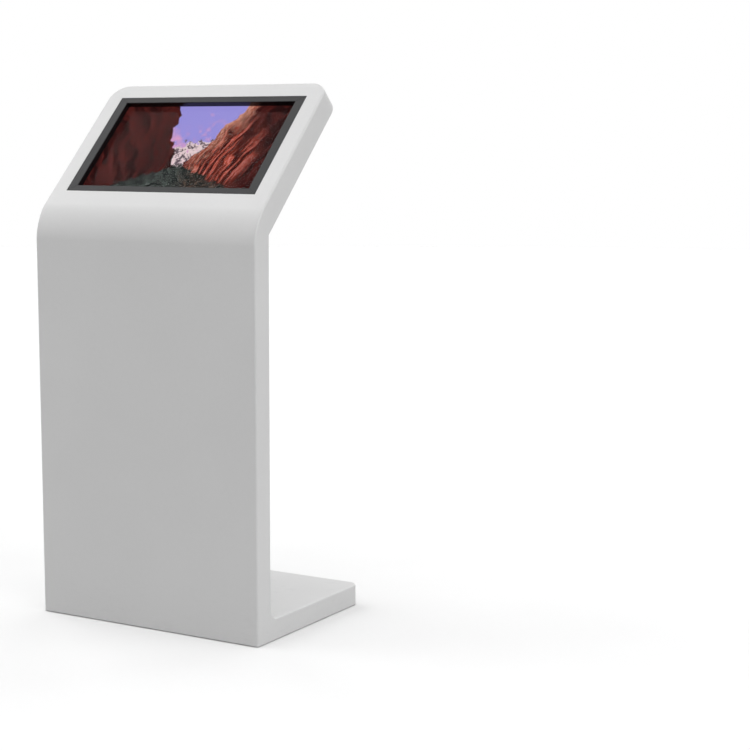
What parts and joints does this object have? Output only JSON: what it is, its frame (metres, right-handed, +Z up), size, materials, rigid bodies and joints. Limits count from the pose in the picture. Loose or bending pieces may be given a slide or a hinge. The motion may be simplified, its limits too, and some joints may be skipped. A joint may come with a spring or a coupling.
{
  "type": "touchscreen kiosk",
  "caption": "Free-standing sheet steel kiosk: slim column on a flat base, sloping head with a landscape touchscreen, rear service door, connector plate and recessed carrying grips.",
  "frame": {"origin": "middle of the base's footprint, on the floor", "axes": "+Z up, +Y towards the service side, so the front and its screen face -Y; +X to the right as seen from the front"},
  "size_m": [0.607, 0.438, 1.2338],
  "materials": {
    "shell_white": "white satin powder coat",
    "cover_grey": "mid grey satin powder coat",
    "bezel_graphite": "fine dark grey anodised",
    "strip_black": "dark infrared filter plastic",
    "screen_glass": "clear tempered glass",
    "display": "lit picture",
    "zinc_steel": "zinc plated",
    "bright_steel": "nickel plated",
    "black_plastic": "moulded",
    "black_metal": "black lacquer",
    "foot_rubber": "moulded",
    "circuit_board": "solder mask",
    "contact_gold": "gold flash",
    "cable_black": "cable jacket"
  },
  "bodies": {
    "cabinet": {"front_panel": "shell_white", "slope_panel": "shell_white", "side_panel_left": "shell_white", "side_panel_right": "shell_white", "head_rim": "shell_white", "cover_ledge": "shell_white", "column_back": "shell_white", "base_top": "shell_white", "base_rear_wall": "shell_white", "base_floor": "zinc_steel", "foot_pads": "foot_rubber", "column_stiffeners": "zinc_steel", "head_cover": "cover_grey", "head_cover_screws": "black_metal", "bezel_frame": "bezel_graphite", "infrared_strips": "strip_black", "touch_glass": "screen_glass", "display_panel": "display", "display_rails": "zinc_steel", "display_board": "circuit_board", "speaker_left": "black_plastic", "speaker_right": "black_plastic", "grip_cup_left": "shell_white", "grip_cup_right": "shell_white", "io_plate": "shell_white", "io_plate_screws": "black_metal", "serial_port": "bright_steel", "video_port": "bright_steel", "port_jackscrews": "zinc_steel", "audio_jacks": "black_plastic", "button_bezel": "black_plastic", "access_plate": "shell_white", "access_plate_screw": "black_metal", "mains_inlet": "black_plastic", "mains_inlet_pins": "bright_steel", "network_socket": "black_plastic", "network_contacts": "contact_gold", "door_frame": "shell_white", "hinge_pins": "bright_steel", "equipment_plate": "zinc_steel", "computer_case": "black_metal", "computer_board": "circuit_board", "power_supply_case": "bright_steel", "power_supply_board": "circuit_board", "fan_housings": "black_plastic", "fan_spacers": "zinc_steel", "mains_lead": "cable_black", "network_lead": "cable_black", "display_lead": "cable_black"},
    "door": {"service_door": "shell_white", "lock_barrel": "black_metal", "lock_nut": "zinc_steel"},
    "lock": {"lock_plug": "black_metal", "lock_cam": "zinc_steel"},
    "power_button": {"power_button": "black_plastic"},
    "fan_left": {"fan_rotor_left": "black_plastic"},
    "fan_right": {"fan_rotor_right": "black_plastic"}
  },
  "joints": [
    {"name": "door_hinge", "type": "hinge", "parent": "cabinet", "child": "door", "pos_m": [0.1895, -0.17, 0.52], "axis": [0, 0, -1], "range_deg": [0, 105]},
    {"name": "lock_turn", "type": "hinge", "parent": "door", "child": "lock", "pos_m": [-0.172, -0.17, 0.52], "axis": [0, -1, 0], "range_deg": [0, 90]},
    {"name": "power_button_press", "type": "slide", "parent": "cabinet", "child": "power_button", "axis": [0, -1, 0], "range_m": [0, 0.0025], "stiffness_N_per_m": 300},
    {"name": "fan_left_spin", "type": "hinge", "parent": "cabinet", "child": "fan_left", "pos_m": [-0.1154, -0.193, 0.5968], "axis": [0, 1, 0], "continuous": true},
    {"name": "fan_right_spin", "type": "hinge", "parent": "cabinet", "child": "fan_right", "pos_m": [0.1154, -0.193, 0.5968], "axis": [0, 1, 0], "continuous": true}
  ]
}
